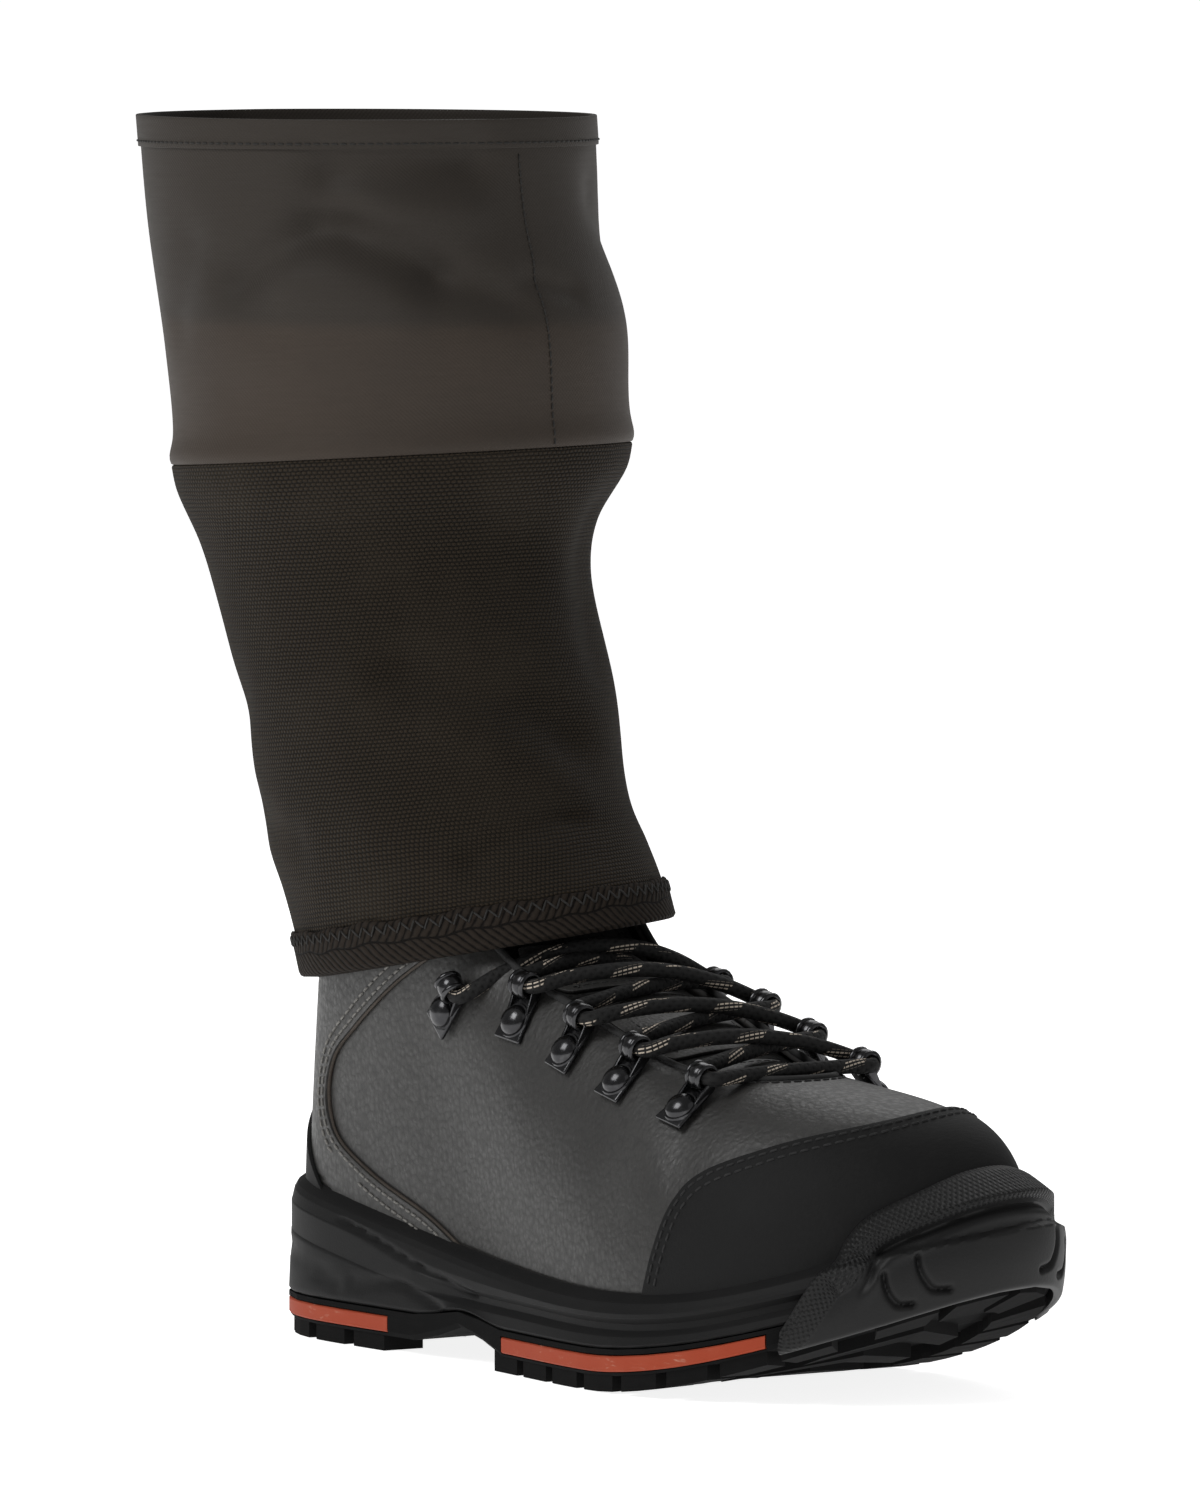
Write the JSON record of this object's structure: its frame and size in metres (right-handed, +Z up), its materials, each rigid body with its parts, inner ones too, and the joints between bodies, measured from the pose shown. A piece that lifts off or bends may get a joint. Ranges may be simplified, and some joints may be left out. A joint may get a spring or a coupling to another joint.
{
  "type": "stockingfoot wader leg with wading boot",
  "caption": "Right lace-up wading boot with lugged rubber sole, toe bumper and open hooks, worn under a knitted gravel guard and the lower leg of a fishing wader",
  "frame": {"origin": "on the floor, under the middle of the bounding box", "axes": "+X towards the toe, +Y towards the inner side of the right foot, +Z up the leg"},
  "size_m": [0.355, 0.136, 0.356],
  "materials": {
    "rubber": "matte black moulded rubber",
    "inlay": "matte brick-orange rubber",
    "leather": "grey pebbled synthetic leather",
    "cap": "dull black abrasion-proof coating",
    "lining": "black padded cloth",
    "metal": "glossy black coated steel",
    "lace": "braided black cord with pale flecks",
    "knit": "dark olive-brown ribbed knit on neoprene",
    "cloth": "grey-brown laminated woven cloth"
  },
  "bodies": {
    "root": {"gravel_guard": "knit", "guard_binding": "knit", "heel_counter": "leather", "hook_inner_1": "metal", "hook_inner_2": "metal", "hook_inner_3": "metal", "hook_inner_4": "metal", "hook_inner_5": "metal", "hook_outer_1": "metal", "hook_outer_2": "metal", "hook_outer_3": "metal", "hook_outer_4": "metal", "hook_outer_5": "metal", "insole": "lining", "lace_bar": "lace", "lace_cross_1": "lace", "lace_cross_2": "lace", "lace_cross_3": "lace", "lace_top": "lace", "midsole": "rubber", "outsole": "rubber", "stripe_forefoot_inner": "inlay", "stripe_forefoot_outer": "inlay", "stripe_heel": "inlay", "toe_bumper": "rubber", "toe_cap": "cap", "tongue": "lining", "upper": "leather", "wader_leg": "cloth"}
  },
  "joints": []
}
